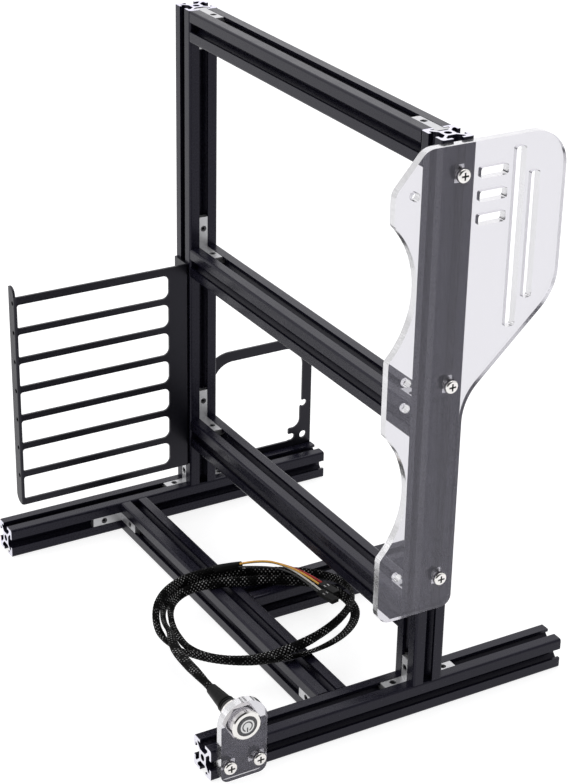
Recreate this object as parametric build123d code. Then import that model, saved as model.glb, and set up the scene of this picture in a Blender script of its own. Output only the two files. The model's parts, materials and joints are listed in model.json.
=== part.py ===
from build123d import *
import os
from math import pi, radians, sqrt, tan

# Open air test bench: slotted aluminium bars, two folded brackets, a clear side plate
# and a push switch with its harness. Millimetres, +X along the beams, +Y along the
# rails, +Z up. The origin is on the floor, in the middle of the bench's footprint.

# Slotted bar, seen in section
bar_side = 20.0
bar_corner = 1.5
slot_mouth = 6.2
slot_lip = 1.8
slot_cavity = 11.5
slot_depth = 6.1
bar_web = 1.6
bar_bore = 4.2

# Cut lengths, where the floor bars meet, and the board's hole rows. The posts' length
# follows from the side plate's screws, and the strut's from the rails.
rail_length = 240.0
beam_length = 258.0
floor_bar_setback = 90.0
strut_offset = 9.5
upper_row_pitch = 157.48
lower_row_pitch = 124.46

# Corner brackets that lie in the slots
long_leg = 20.5
long_leg_hole = 12.5
short_leg = 14.5
short_leg_hole = 7.5
wrap_peek = 5.0
bracket_depth = 4.5
bracket_sink = 0.2
slot_gap = 0.15
bracket_start = 0.2

# Fasteners
thread_diameter = 4.0
thread_gap = 0.05
clear_hole = 4.4
set_screw_sink = 0.6
set_screw_socket = 2.0
set_screw_socket_depth = 1.8
head_diameter = 8.0
head_height = 2.6
head_round = 1.3
recess_length = 4.4
recess_width = 1.0
recess_depth = 1.4
nut_length = 10.0
nut_sink = 0.3
screw_tip_gap = 0.6

# Expansion card bracket: pitch of the card slots, window and sheet
card_pitch = 20.32
card_count = 7
card_window_height = 16.2
card_window_length = 106.85
card_window_top = 178.3
card_sheet = 1.5
card_bend = 1.7
card_face_inset = 2.0
card_top_margin = 5.2
card_bottom_margin = 4.2
card_far_margin = 14.5
card_near_margin = 0.2
card_near_flange = 9.2
card_far_flange = 17.0
card_tab_rise = 5.5
card_tab_round = 5.0
card_tip_round = 1.2
card_flange_round = 6.0
card_window_far_round = 4.5
card_window_near_round = 1.6
card_hole_diameter = 2.9
card_hole_inset = 3.3
card_hole_rise = 0.4
card_screw_low = 28.0
card_screw_pitch = 92.0

# Power supply bracket, for a supply stood on its 86 mm side
supply_width = 86.0
supply_sheet = 1.5
supply_top = 104.0
supply_lift = 1.5
supply_band = 7.2
supply_sill = 24.0
supply_outer_round = 20.0
supply_inner_round = 15.0
supply_foot_round = 3.0
supply_hole_diameter = 5.5
supply_hole_edge = 6.0
supply_hole_height = 27.0
supply_second_edge = 15.6
supply_third_height = 52.0
supply_notch_radius = 2.6
supply_gusset_width = 17.8
supply_gusset_top = 33.7
supply_gusset_stem = 8.6
supply_gusset_height = 50.0
supply_gusset_round = 6.0
supply_tip_round = 1.4
supply_screw_edge = 20.0
supply_post_gap = 1.0

# Clear side plate, measured from the right post's axis, from the floor and down from its
# top. Its near edge holds two fans of a standard size, one above the other, by two holes
# each, and its three screws are a fan's size apart.
plate_thickness = 5.0
plate_bottom = 73.5
plate_top_drop = 1.5
plate_left = 40.5
plate_right = 67.0
plate_stem_right = 9.0
plate_arm_height = 93.2
plate_arm_root = 147.9
plate_chamfer_width = 18.5
plate_chamfer_height = 21.5
plate_chamfer_round = 10.0
plate_top_round = 22.0
plate_step_round = 30.0
plate_foot_round = 6.5
plate_toe_round = 9.0
plate_screw_low = 93.5
plate_screw_drop = 18.5
fan_size = 120.0
fan_hole_margin = 7.5
fan_hole_diameter = 5.0
fan_hole_edge = 12.5
fan_rim = 4.5
bay_round = 4.0
tie_slot_length = 17.5
tie_slot_width = 6.0
tie_slot_reach = 20.5
tie_slot_drop = 18.0
tie_slot_pitch = 13.0
tie_slot_count = 3
slot_round = 1.5
long_slot_width = 6.4
long_slot_reach = 37.0
long_slot_drop = 7.0
long_slot_clear = 12.0
short_slot_width = 5.6
short_slot_reach = 47.3
short_slot_drop = 22.0
short_slot_clear = 17.3

# Clear switch plate on the right rail
switch_plate_width = 29.0
switch_plate_lift = 0.3
switch_plate_foot_round = 5.0
switch_screw_spread = 18.5
switch_setback = 18.2
switch_height = 36.0

# Push switch, along its own axis from the plate's front face
bezel_diameter = 18.0
bezel_height = 3.0
bezel_chamfer = 0.7
barrel_diameter = 16.0
barrel_gap = 0.1
barrel_reach = 13.0
barrel_bore = 13.8
mouth_lip = 1.2
cap_diameter = 12.6
cap_gap = 0.05
cap_proud = 0.4
cap_shoulder = 13.6
cap_shoulder_height = 1.2
cap_stop_gap = 0.1
cap_roof = 1.6
cap_pocket = 9.0
cap_round = 0.4
button_travel = 1.5
ring_inner = 8.6
ring_depth = 0.8
ring_gap = 0.03
seal_outer = 17.2
seal_height = 0.8
nut_flats = 19.0
switch_nut_height = 3.0
insulator_reach = 4.0
insulator_plug = 5.0
insulator_tail = 12.0
insulator_gap = 0.05
insulator_well = 11.0
spring_radius = 3.0
spring_wire = 0.7
spring_turns = 3
spring_sides = 6
spring_seat_gap = 0.05

# Harness: boot, sleeve, loose coil, four leads and two connectors
boot_length = 21.0
boot_collar_diameter = 10.4
boot_ring_count = 3
boot_ring_pitch = 1.8
boot_groove = 0.5
sleeve_diameter = 5.0
boot_wall = 0.8
lead_straight = 14.0
lead_points = [
    (84.0, -99.0, 33.0),
    (65.0, -95.0, 29.6),
    (47.0, -91.4, 27.4),
]
coil_center = (38.5, -30.5)
coil_half_x = 47.0
coil_half_y = 58.5
coil_width = 13.0
coil_height = 10.5
coil_seat = 0.3
wire_diameter = 1.3
wire_starts = [
    (-11.0, -13.6, 29.8),
    (-9.6, -15.0, 29.8),
    (-8.2, -16.4, 29.8),
    (-6.8, -17.8, 29.8),
]
wire_bends = [
    [(0.4, -5.2, 34.2), (14.0, 4.6, 34.8), (29.0, 11.6, 34.0)],
    [(1.4, -6.8, 34.2), (14.8, 2.9, 34.8), (29.6, 9.8, 34.0)],
    [(2.4, -8.4, 34.2), (16.4, 1.0, 34.8), (33.4, 7.6, 34.0)],
    [(3.4, -10.0, 34.2), (17.2, -0.8, 34.8), (34.0, 5.6, 34.0)],
]
wire_names = ["amber", "red", "white", "black"]
connector_length = 14.0
connector_width = 5.2
connector_height = 2.6
connector_turn = 10.0
connector_seat = 0.3
connector_rear = [(40.5, 14.5), (48.0, 9.2)]
connector_pitch = 2.54

# Places that follow from the sizes above
half = bar_side / 2
post_spacing = beam_length + bar_side
left_reach = supply_sheet + head_height
right_reach = plate_thickness + bezel_height + cap_proud
frame_shift = (left_reach - right_reach) / 2
left_x = frame_shift - post_spacing / 2
right_x = frame_shift + post_spacing / 2
near_y = -rail_length / 2
far_y = rail_length / 2
post_y = far_y - supply_width - supply_post_gap - half
cross_y = near_y + floor_bar_setback
strut_x = frame_shift + strut_offset
strut_length = far_y - cross_y - half
bench_height = plate_screw_low + 2 * fan_size + plate_screw_drop
post_length = bench_height - bar_side
top_z = bench_height - half
mid_z = top_z - upper_row_pitch
low_z = mid_z - lower_row_pitch
plate_front_x = right_x + half + plate_thickness
plate_top = bench_height - plate_top_drop
plate_step_high = plate_top - plate_arm_height
plate_step_low = plate_top - plate_arm_root
fan_hole_pitch = fan_size - 2 * fan_hole_margin
fan_opening = fan_size - 2 * fan_rim
switch_y = near_y + switch_setback
thread_hole = thread_diameter + 2 * thread_gap
web_offset = bar_web / sqrt(2)
shoulder_depth = half - web_offset - slot_cavity / 2

nodes = {}


def rounded_face(corners):
    # Closed face from (u, v, corner radius) rows
    points = [(u, v) for u, v, r in corners]
    radii = [r for u, v, r in corners]
    return make_face(FilletPolyline(*points, radius=radii, close=True))


def rounded_rectangle(u_low, u_high, v_low, v_high, radius):
    return rounded_face(
        [
            (u_low, v_low, radius),
            (u_high, v_low, radius),
            (u_high, v_high, radius),
            (u_low, v_high, radius),
        ]
    )


def slot_half_width(depth):
    # Half the cavity's width at a depth below the bar's face
    return min(slot_cavity / 2, half - web_offset - depth)


def slot_piece_face(sink, depth):
    # Section of a piece that rides in the slot: u across the slot, v out of it
    mouth = slot_mouth / 2 - slot_gap
    wide = slot_cavity / 2 - slot_gap
    foot = slot_half_width(depth) - slot_gap
    right_side = [
        (mouth, -sink),
        (mouth, -slot_lip),
        (wide, -slot_lip),
        (wide, -shoulder_depth),
        (foot, -depth),
    ]
    left_side = [(-u, v) for u, v in reversed(right_side)]
    return make_face(Polyline(*right_side, *left_side, close=True))


def bar_section():
    mouth = slot_mouth / 2
    wide = slot_cavity / 2
    foot = slot_half_width(slot_depth)
    right_side = [
        (mouth, half + slot_lip),
        (mouth, half - slot_lip),
        (wide, half - slot_lip),
        (wide, half - shoulder_depth),
        (foot, half - slot_depth),
    ]
    left_side = [(-u, v) for u, v in reversed(right_side)]
    slot = make_face(Polyline(*right_side, *left_side, close=True))
    section = RectangleRounded(bar_side, bar_side, bar_corner)
    for quarter in range(4):
        section -= Rot(0, 0, 90 * quarter) * slot
    return section - Circle(bar_bore / 2)


section_face = bar_section()


def bar_along_x(x, y, z, length):
    return Pos(x, y, z) * Rot(0, 90, 0) * extrude(section_face, length)


def bar_along_y(x, y, z, length):
    return Pos(x, y, z) * Rot(-90, 0, 0) * extrude(section_face, length)


def bar_along_z(x, y, z, length):
    return Pos(x, y, z) * extrude(section_face, length)


def build_bars():
    inner_x = left_x + half
    nodes["base_rail_left"] = bar_along_y(left_x, near_y, half, rail_length)
    nodes["base_rail_right"] = bar_along_y(right_x, near_y, half, rail_length)
    nodes["post_left"] = bar_along_z(left_x, post_y, bar_side, post_length)
    nodes["post_right"] = bar_along_z(right_x, post_y, bar_side, post_length)
    nodes["beam_top"] = bar_along_x(inner_x, post_y, top_z, beam_length)
    nodes["beam_middle"] = bar_along_x(inner_x, post_y, mid_z, beam_length)
    nodes["beam_lower"] = bar_along_x(inner_x, post_y, low_z, beam_length)
    nodes["base_cross_beam"] = bar_along_x(inner_x, cross_y, half, beam_length)
    nodes["base_strut"] = bar_along_y(strut_x, cross_y + half, half, strut_length)


def slot_leg(leg, tail):
    # One leg along +X in a slot whose mouth is at z = 0; its rib runs back by the tail
    face = Plane.YZ.offset(bracket_start) * slot_piece_face(bracket_sink, bracket_depth)
    rib = slot_mouth - 2 * slot_gap
    rib_height = bracket_depth - bracket_sink
    foot = Pos((leg - tail) / 2, 0, -bracket_sink - rib_height / 2)
    return extrude(face, leg - bracket_start) + foot * Box(leg + tail, rib, rib_height)


def bracket_leg(leg, hole, tail):
    return slot_leg(leg, tail) - Pos(hole, 0, 0) * Cylinder(thread_hole / 2, 2 * slot_depth)


def set_screw(hole):
    top = -bracket_sink - set_screw_sink
    length = slot_depth + top
    screw = Pos(hole, 0, top - length / 2) * Cylinder(thread_diameter / 2, length)
    socket = Plane.XY.offset(top) * RegularPolygon(set_screw_socket / 2, 6, major_radius=False)
    return screw - Pos(hole, 0, 0) * extrude(socket, -set_screw_socket_depth)


inward_turn = Axis((0, 0, 0), (1, 0, 1))


def corner_bracket(leg, hole):
    # The second leg climbs away from the first one, out of the inside corner
    first = bracket_leg(leg, hole, bracket_depth)
    screws = [set_screw(hole), set_screw(hole).rotate(inward_turn, 180)]
    return first + first.rotate(inward_turn, 180), screws


def wrapped_bracket(leg, hole):
    # The second leg is a plain tongue in the post's slot, behind the beam's end and past it
    tongue = bar_side + wrap_peek
    first = bracket_leg(leg, hole, bracket_depth)
    second = slot_leg(tongue, -bracket_sink).rotate(Axis.Y, 90)
    return first + second, [set_screw(hole)]


def bracket_places():
    # Name, corner, first leg's way, second leg's way, short or long, wraps
    east, west = (1, 0, 0), (-1, 0, 0)
    north, south = (0, 1, 0), (0, -1, 0)
    up = (0, 0, 1)
    sides = [("left", left_x, half, east), ("right", right_x, -half, west)]
    rows = []
    for side, x, inward, way in sides:
        face_x = x + inward
        rows.append((f"bracket_top_{side}", (face_x, post_y, bench_height), way, up, False, True))
        rows.append((f"bracket_middle_{side}", (face_x, post_y, mid_z + half), way, up, False, False))
        rows.append((f"bracket_lower_{side}", (face_x, post_y, low_z + half), way, up, False, False))
        rows.append((f"bracket_foot_near_{side}", (x, post_y - half, bar_side), south, up, True, False))
        rows.append((f"bracket_foot_far_{side}", (x, post_y + half, bar_side), north, up, True, False))
        rows.append((f"bracket_cross_{side}", (face_x, cross_y - half, half), way, south, False, False))
    strut_corner = (strut_x - half, cross_y + half, half)
    rows.append(("bracket_strut", strut_corner, north, west, False, False))
    return rows


def build_brackets():
    all_screws = []
    for name, corner, first_way, second_way, short, wraps in bracket_places():
        leg = short_leg if short else long_leg
        hole = short_leg_hole if short else long_leg_hole
        place = Plane(corner, x_dir=first_way, z_dir=second_way).location
        shape_of = wrapped_bracket if wraps else corner_bracket
        bracket, screws = shape_of(leg, hole)
        nodes[name] = place * bracket
        all_screws += [place * screw for screw in screws]
    nodes["bracket_set_screws"] = Compound(all_screws)


def slot_nut():
    # Slot nut with its slot's mouth at z = 0, long side along X
    face = Plane.YZ.offset(-nut_length / 2) * slot_piece_face(nut_sink, bracket_depth)
    return extrude(face, nut_length) - Cylinder(thread_hole / 2, 2 * slot_depth)


def pan_screw(grip):
    # Screw with its head on z = 0, through a plate of the given grip into a slot nut
    length = grip + slot_depth - screw_tip_gap
    head = Pos(0, 0, head_height / 2) * Cylinder(head_diameter / 2, head_height)
    head = fillet(head.edges().group_by(Axis.Z)[-1], head_round)
    for turn in (0, 90):
        slit = Rot(0, 0, turn) * Box(recess_length, recess_width, 2 * recess_depth)
        head -= Pos(0, 0, head_height) * slit
    return head + Pos(0, 0, -length / 2) * Cylinder(thread_diameter / 2, length)


def fasten(screw_node, nut_node, places, grip):
    # Places are (point on the plate's outer face, outward way, way of the slot)
    screws = []
    nuts = []
    for point, outward, along in places:
        place = Plane(point, x_dir=along, z_dir=outward).location
        screws.append(place * pan_screw(grip))
        nuts.append(place * Pos(0, 0, -grip) * slot_nut())
    nodes[screw_node] = Compound(screws)
    nodes[nut_node] = Compound(nuts)


def pick_edges(shape, wanted):
    # Edges of a rebuilt shape that lie where the wanted edges were
    centers = [edge.center() for edge in wanted]
    edges = shape.edges()
    return [min(edges, key=lambda edge: (edge.center() - c).length) for c in centers]


def build_card_bracket():
    # Folded sheet: a near flange for the cards' screws, the windowed face, a far flange
    face_x = left_x + half - card_face_inset
    far_face = post_y - half
    window_far = far_face - card_far_margin
    window_near = window_far - card_window_length
    near_face = window_near - card_near_margin - card_sheet
    span = (card_count - 1) * card_pitch + card_window_height
    bottom = card_window_top - span - card_bottom_margin
    height = span + card_bottom_margin + card_top_margin
    middle = card_sheet / 2
    near_tip = face_x - card_near_flange
    folds = FilletPolyline(
        (near_tip, near_face + middle),
        (face_x - middle, near_face + middle),
        (face_x - middle, far_face - middle),
        (face_x - card_far_flange, far_face - middle),
        radius=card_bend - middle,
    )
    sheet = extrude(trace(folds, card_sheet), height)
    tab_width = card_near_flange - card_bend
    tab = Pos(near_tip + tab_width / 2, near_face + middle, height + card_tab_rise / 2)
    sheet += tab * Box(tab_width, card_sheet, card_tab_rise)
    across = sheet.edges().filter_by(Axis.Y)
    near_edges = [e for e in across if abs(e.length - card_sheet) < slot_gap]
    outer_low = [e for e in near_edges if e.center().X < near_tip + slot_gap and e.center().Z < middle]
    tab_top = [e for e in near_edges if e.center().Z > height + card_tab_rise - middle]
    tip_edge, inner_edge = sorted(tab_top, key=lambda edge: edge.center().X)
    sheet = fillet(outer_low, card_flange_round)
    sheet = fillet(pick_edges(sheet, [tip_edge]), card_tip_round)
    sheet = fillet(pick_edges(sheet, [inner_edge]), card_tab_round)
    sheet = Pos(0, 0, bottom) * sheet
    far_round = card_window_far_round
    near_round = card_window_near_round
    for card in range(card_count):
        window_high = card_window_top - card * card_pitch
        window_low = window_high - card_window_height
        window = rounded_face(
            [
                (window_near, window_low, near_round),
                (window_far, window_low, far_round),
                (window_far, window_high, far_round),
                (window_near, window_high, near_round),
            ]
        )
        cutter = extrude(Plane.YZ * window, card_sheet, both=True)
        sheet -= Pos(face_x - middle, 0, 0) * cutter
        hole = Cylinder(card_hole_diameter / 2, 4 * card_sheet, rotation=(90, 0, 0))
        sheet -= Pos(face_x - card_hole_inset, near_face, window_high + card_hole_rise) * hole
    places = []
    for row in range(2):
        screw_z = bottom + card_screw_low + row * card_screw_pitch
        hole = Cylinder(clear_hole / 2, 4 * card_sheet, rotation=(90, 0, 0))
        sheet -= Pos(left_x, far_face, screw_z) * hole
        places.append(((left_x, far_face - card_sheet, screw_z), (0, -1, 0), (0, 0, 1)))
    nodes["card_bracket"] = sheet
    fasten("card_bracket_screws", "card_bracket_nuts", places, card_sheet)


def supply_gusset(edge, way):
    # Corner pad with the screw hole and the open notches; way points into the window
    stem = edge + way * supply_gusset_stem
    tip = edge + way * supply_gusset_width
    pad = rounded_face(
        [
            (edge, supply_lift + supply_foot_round, 0),
            (tip, supply_lift + supply_foot_round, 0),
            (tip, supply_gusset_top, supply_tip_round),
            (stem, supply_gusset_top, supply_gusset_round),
            (stem, supply_gusset_height, supply_tip_round),
            (edge, supply_gusset_height, 0),
        ]
    )
    second = edge + way * supply_second_edge
    notch_low = supply_hole_height - supply_notch_radius
    notch_high = supply_hole_height + supply_notch_radius
    open_end = tip + way
    notch = Pos(second, supply_hole_height) * Circle(supply_notch_radius)
    u_low, u_high = sorted((second, open_end))
    notch += rounded_rectangle(u_low, u_high, notch_low, notch_high, 0)
    hole = Pos(edge + way * supply_hole_edge, supply_hole_height) * Circle(supply_hole_diameter / 2)
    third = Pos(edge + way * supply_hole_edge, supply_third_height) * Circle(supply_notch_radius)
    return pad, notch, hole, third


def build_supply_bracket():
    # Flat frame on the left rail's outer face, flush with the rail's far end
    outer = far_y
    inner = far_y - supply_width
    frame = rounded_face(
        [
            (inner, supply_lift, supply_foot_round),
            (outer, supply_lift, supply_foot_round),
            (outer, supply_top, supply_outer_round),
            (inner, supply_top, supply_outer_round),
        ]
    )
    window = rounded_face(
        [
            (inner + supply_band, supply_sill, supply_tip_round),
            (outer - supply_band, supply_sill, supply_tip_round),
            (outer - supply_band, supply_top - supply_band, supply_inner_round),
            (inner + supply_band, supply_top - supply_band, supply_inner_round),
        ]
    )
    frame -= window
    for edge, way in ((outer, -1), (inner, 1)):
        pad, notch, hole, third = supply_gusset(edge, way)
        sill = rounded_rectangle(inner, outer, supply_lift, supply_sill, 0)
        frame += pad
        frame -= notch - sill
        frame -= hole
        frame -= third
    face_x = left_x - half
    places = []
    for y in (inner + supply_screw_edge, outer - supply_screw_edge):
        frame -= Pos(y, half) * Circle(clear_hole / 2)
        places.append(((face_x - supply_sheet, y, half), (-1, 0, 0), (0, 1, 0)))
    nodes["supply_bracket"] = Pos(face_x - supply_sheet, 0, 0) * extrude(Plane.YZ * frame, supply_sheet)
    fasten("supply_bracket_screws", "supply_bracket_nuts", places, supply_sheet)


def side_plate_face():
    # Outline in the plate's own plane: u from the post's axis, v from the floor
    face = rounded_face(
        [
            (-plate_left + plate_chamfer_width, plate_top, plate_chamfer_round),
            (plate_right, plate_top, plate_top_round),
            (plate_right, plate_step_high, plate_step_round),
            (plate_stem_right, plate_step_low, plate_step_round),
            (plate_stem_right, plate_bottom, plate_foot_round),
            (-plate_left, plate_bottom, plate_toe_round),
            (-plate_left, plate_top - plate_chamfer_height, plate_chamfer_round),
        ]
    )
    hole_u = -plate_left + fan_hole_edge
    fan_u = hole_u - fan_hole_pitch / 2
    reach = sqrt((fan_opening / 2) ** 2 - (fan_u + plate_left) ** 2)
    for fan in range(2):
        fan_v = plate_screw_low + (fan + 0.5) * fan_size
        face -= Pos(fan_u, fan_v) * Circle(fan_opening / 2)
        cusps = [(-plate_left, fan_v - reach), (-plate_left, fan_v + reach)]
        tips = [face.vertices().sort_by_distance((u, v, 0))[0] for u, v in cusps]
        face = fillet(tips, bay_round)
        for side in (-1, 1):
            hole_v = fan_v + side * fan_hole_pitch / 2
            face -= Pos(hole_u, hole_v) * Circle(fan_hole_diameter / 2)
    return face


def side_plate_slots():
    slots = []
    for tie in range(tie_slot_count):
        v = plate_top - tie_slot_drop - tie * tie_slot_pitch
        slots.append(
            rounded_rectangle(
                tie_slot_reach - tie_slot_length / 2,
                tie_slot_reach + tie_slot_length / 2,
                v - tie_slot_width / 2,
                v + tie_slot_width / 2,
                slot_round,
            )
        )
    uprights = [
        (long_slot_reach, long_slot_width, long_slot_clear, long_slot_drop),
        (short_slot_reach, short_slot_width, short_slot_clear, short_slot_drop),
    ]
    slope = (plate_step_high - plate_step_low) / (plate_right - plate_stem_right)
    for reach, width, clear, drop in uprights:
        low = plate_step_low + slope * (reach - plate_stem_right) + clear
        high = plate_top - drop
        slots.append(rounded_rectangle(reach - width / 2, reach + width / 2, low, high, slot_round))
    return slots


def build_side_plate():
    face = side_plate_face()
    for slot in side_plate_slots():
        face -= slot
    places = []
    for row in range(3):
        v = plate_screw_low + row * fan_size
        face -= Pos(0, v) * Circle(clear_hole / 2)
        places.append(((plate_front_x, post_y, v), (1, 0, 0), (0, 0, 1)))
    plate = extrude(Plane.YZ * face, plate_thickness)
    nodes["side_plate"] = Pos(right_x + half, post_y, 0) * plate
    fasten("side_plate_screws", "side_plate_nuts", places, plate_thickness)


def build_switch_plate():
    radius = switch_plate_width / 2
    face = rounded_face(
        [
            (-radius, switch_plate_lift, switch_plate_foot_round),
            (radius, switch_plate_lift, switch_plate_foot_round),
            (radius, switch_height, 0),
            (-radius, switch_height, 0),
        ]
    )
    face += Pos(0, switch_height) * Circle(radius)
    face -= Pos(0, switch_height) * Circle(barrel_diameter / 2 + barrel_gap)
    places = []
    for side in (-1, 1):
        u = side * switch_screw_spread / 2
        face -= Pos(u, half) * Circle(clear_hole / 2)
        places.append(((plate_front_x, switch_y + u, half), (1, 0, 0), (0, 1, 0)))
    plate = extrude(Plane.YZ * face, plate_thickness)
    nodes["switch_plate"] = Pos(right_x + half, switch_y, 0) * plate
    fasten("switch_plate_screws", "switch_plate_nuts", places, plate_thickness)


def disc(diameter, low, high):
    return Pos(0, 0, (low + high) / 2) * Cylinder(diameter / 2, high - low)


def build_switch():
    # Built along +Z from the plate's front face, then turned to point along +X
    place = Plane((plate_front_x, switch_y, switch_height), x_dir=(0, 1, 0), z_dir=(1, 0, 0)).location
    lip_low = bezel_height - mouth_lip
    flange = disc(bezel_diameter, 0, bezel_height)
    flange = chamfer(flange.edges().group_by(Axis.Z)[-1], bezel_chamfer)
    housing = flange + disc(barrel_diameter, -barrel_reach, 0)
    seal = disc(seal_outer, 0, seal_height) - disc(barrel_diameter, 0, seal_height)
    housing -= seal
    housing -= disc(barrel_bore, -barrel_reach, lip_low)
    housing -= disc(cap_diameter + 2 * cap_gap, lip_low, bezel_height)
    nodes["switch_housing"] = place * housing
    nodes["switch_seal"] = place * seal

    cap_top = bezel_height + cap_proud
    shoulder_top = lip_low - cap_stop_gap
    shoulder_low = shoulder_top - cap_shoulder_height
    ring_low = cap_top - ring_depth
    cap = disc(cap_diameter, shoulder_low, ring_low)
    cap += disc(ring_inner - 2 * ring_gap, ring_low, cap_top)
    cap += disc(cap_shoulder, shoulder_low, shoulder_top)
    cap -= disc(cap_pocket, shoulder_low, cap_top - cap_roof)
    nodes["button_cap"] = place * cap
    lens = disc(cap_diameter, ring_low, cap_top)
    lens = fillet(lens.edges().group_by(Axis.Z)[-1], cap_round)
    nodes["button_ring"] = place * (lens - disc(ring_inner, ring_low, cap_top))

    plug_top = insulator_plug - barrel_reach
    rim_top = shoulder_low - button_travel - cap_stop_gap
    insulator = disc(barrel_bore - 2 * insulator_gap, -barrel_reach, rim_top)
    insulator -= disc(insulator_well, plug_top, rim_top)
    insulator += disc(insulator_tail, -barrel_reach - insulator_reach, -barrel_reach)
    nodes["switch_insulator"] = place * insulator
    spring_low = plug_top + spring_seat_gap + spring_wire / 2
    spring_high = cap_top - cap_roof - spring_seat_gap - spring_wire / 2
    rise = spring_high - spring_low
    coil = Helix(pitch=rise / spring_turns, height=rise, radius=spring_radius)
    wire_face = Plane(coil @ 0, z_dir=coil % 0) * RegularPolygon(spring_wire / 2, spring_sides)
    spring = sweep(wire_face, path=coil, is_frenet=True)
    nodes["return_spring"] = place * Pos(0, 0, spring_low) * spring

    flats = RegularPolygon(nut_flats / 2, 6, major_radius=False)
    flats -= Circle(barrel_diameter / 2 + barrel_gap)
    nut = extrude(flats, -switch_nut_height)
    nodes["switch_nut"] = place * Pos(0, 0, -plate_thickness) * nut


def cord_tube(points, diameter):
    # Straight runs joined by tangent arcs, each as large as its two runs allow
    radii = []
    for before, corner, after in zip(points, points[1:], points[2:]):
        first = Vector(corner) - Vector(before)
        second = Vector(after) - Vector(corner)
        shorter = min(first.length, second.length)
        radii.append(0.45 * shorter / tan(radians(first.get_angle(second)) / 2))
    path = FilletPolyline(*points, radius=radii)
    start = Plane(path @ 0, z_dir=path % 0)
    tube = sweep(start * Circle(diameter / 2), path=path)
    print("cord radii", [round(r, 1) for r in radii], "length", round(path.length, 1))
    print("cord volume share", round(tube.volume / (path.length * pi * diameter**2 / 4), 4))
    return tube


def boot_half_section():
    # Ringed collar, then a cone down to the sleeve: u out from the axis, v along it
    crest = boot_collar_diameter / 2
    tip = sleeve_diameter / 2 + boot_wall
    rows = [(0, 0)]
    for ring in range(boot_ring_count):
        low = ring * boot_ring_pitch
        high = low + boot_ring_pitch / 2
        rows += [(crest, low), (crest, high), (crest - boot_groove, high)]
        rows.append((crest - boot_groove, low + boot_ring_pitch))
    rows += [(tip, boot_length), (0, boot_length)]
    return Plane.XZ * make_face(Polyline(*rows, close=True))


def build_harness():
    boot_x = plate_front_x - barrel_reach - insulator_reach
    boot_end = boot_x - boot_length
    boot_place = Plane((boot_x, switch_y, switch_height), x_dir=(0, 1, 0), z_dir=(-1, 0, 0))
    nodes["switch_boot"] = boot_place.location * revolve(boot_half_section(), Axis.Z)
    lead_start = (boot_end, switch_y, switch_height)
    lead_bend = (boot_end - lead_straight, switch_y, switch_height)
    nodes["harness_lead"] = cord_tube([lead_start, lead_bend] + lead_points, sleeve_diameter)

    spread = coil_width / 2
    ring = Ellipse(coil_half_x + spread, coil_half_y + spread)
    ring -= Ellipse(coil_half_x - spread, coil_half_y - spread)
    coil = extrude(ring, coil_height)
    nodes["harness_coil"] = Pos(coil_center[0], coil_center[1], bar_side + coil_seat) * coil

    seat_z = bar_side + coil_seat + coil_height + connector_seat + connector_height / 2
    wire_ends = []
    for name, (rear_x, rear_y) in zip(("switch", "lamp"), connector_rear):
        rear = Pos(rear_x, rear_y, seat_z) * Rot(0, 0, connector_turn)
        body = Box(connector_length, connector_width, connector_height)
        nodes[f"connector_{name}"] = rear * Pos(connector_length / 2, 0, 0) * body
        for side in (1, -1):
            wire_ends.append(tuple((rear * Pos(0, side * connector_pitch / 2, 0)).position))
    for name, start, bends, end in zip(wire_names, wire_starts, wire_bends, wire_ends):
        nodes[f"wire_{name}"] = cord_tube([start] + bends + [end], wire_diameter)


build_bars()
build_brackets()
build_card_bracket()
build_supply_bracket()
build_side_plate()
build_switch_plate()
build_switch()
build_harness()

os.makedirs("parts", exist_ok=True)
for node_name, shape in nodes.items():
    export_step(shape, f"parts/{node_name}.step")
print(len(nodes), "nodes written")
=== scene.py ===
import json
from math import pi, radians

import bpy
import numpy as np
from mathutils import Matrix, Vector


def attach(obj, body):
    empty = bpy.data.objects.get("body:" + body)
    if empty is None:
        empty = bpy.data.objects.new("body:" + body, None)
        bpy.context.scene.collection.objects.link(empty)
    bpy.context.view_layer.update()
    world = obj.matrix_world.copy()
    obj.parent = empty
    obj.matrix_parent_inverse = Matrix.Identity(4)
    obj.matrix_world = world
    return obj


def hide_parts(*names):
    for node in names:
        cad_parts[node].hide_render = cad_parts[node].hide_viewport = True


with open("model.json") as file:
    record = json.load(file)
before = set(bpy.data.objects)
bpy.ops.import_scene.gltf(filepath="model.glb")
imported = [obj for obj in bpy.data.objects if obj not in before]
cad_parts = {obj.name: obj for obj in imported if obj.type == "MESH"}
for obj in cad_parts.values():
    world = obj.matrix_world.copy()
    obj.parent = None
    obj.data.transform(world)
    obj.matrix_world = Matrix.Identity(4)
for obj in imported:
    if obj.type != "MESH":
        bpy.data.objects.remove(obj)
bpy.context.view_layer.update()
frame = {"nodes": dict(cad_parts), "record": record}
nodes = frame["nodes"]
scene = bpy.context.scene
mm = 0.001
print("frame loaded with", len(nodes), "nodes")


# Camera and studio

cameraSettings = {
    "eye": (0.9540, -0.55387, 0.68183),        # metres, in the bench's own frame
    "right": (0.50057, 0.86551, 0.01806),
    "down": (0.3838, -0.2032, -0.9008),
    "lens": 92.78,
    "sensor": 36.0,
    "clipStart": 0.01,
}


def makeCamera():
    right = Vector(cameraSettings["right"]).normalized()
    up = -Vector(cameraSettings["down"])
    up = (up - up.dot(right) * right).normalized()
    back = right.cross(up)
    data = bpy.data.cameras.new("camera")
    data.lens = cameraSettings["lens"]
    data.sensor_width = cameraSettings["sensor"]
    data.clip_start = cameraSettings["clipStart"]
    camera = bpy.data.objects.new("camera", data)
    turn = Matrix((right, up, back)).transposed().to_4x4()
    camera.matrix_world = Matrix.Translation(cameraSettings["eye"]) @ turn
    scene.collection.objects.link(camera)
    scene.camera = camera


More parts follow.
